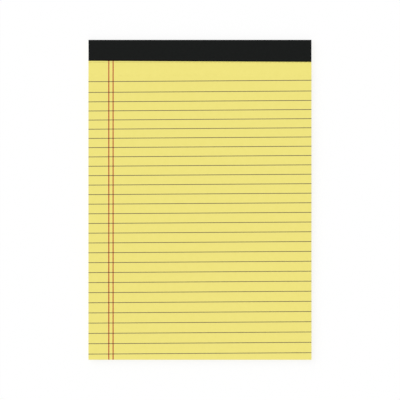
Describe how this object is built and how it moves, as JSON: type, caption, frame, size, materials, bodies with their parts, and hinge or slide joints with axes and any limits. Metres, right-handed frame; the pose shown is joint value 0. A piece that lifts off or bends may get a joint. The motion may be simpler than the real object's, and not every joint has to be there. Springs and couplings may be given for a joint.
{
  "type": "legal pad",
  "caption": "Head-bound writing pad of ruled yellow sheets on a chipboard back, stapled under a folded black binding tape, with tear-off sheets.",
  "frame": {"origin": "middle of the pad's outline, on the surface that the pad lies on", "axes": "+X to the right of the writing face, +Y to the bound head, +Z out of the writing face"},
  "size_m": [0.208, 0.2984, 0.0054],
  "materials": {
    "ruled_paper": "uncoated yellow writing paper",
    "chipboard": "grey-brown recycled board, calendered",
    "binding_tape": "black leather-grained binding paper, matt",
    "staple_wire": "galvanised stitching wire",
    "rule_ink": "dark grey printed rule on the paper",
    "margin_ink": "red printed margin rule on the paper"
  },
  "bodies": {
    "root": {"sheet_block": "ruled_paper", "backing_board": "chipboard", "binding_tape": "binding_tape", "staples": "staple_wire", "rule_lines": "rule_ink", "margin_lines": "margin_ink"}
  },
  "joints": []
}
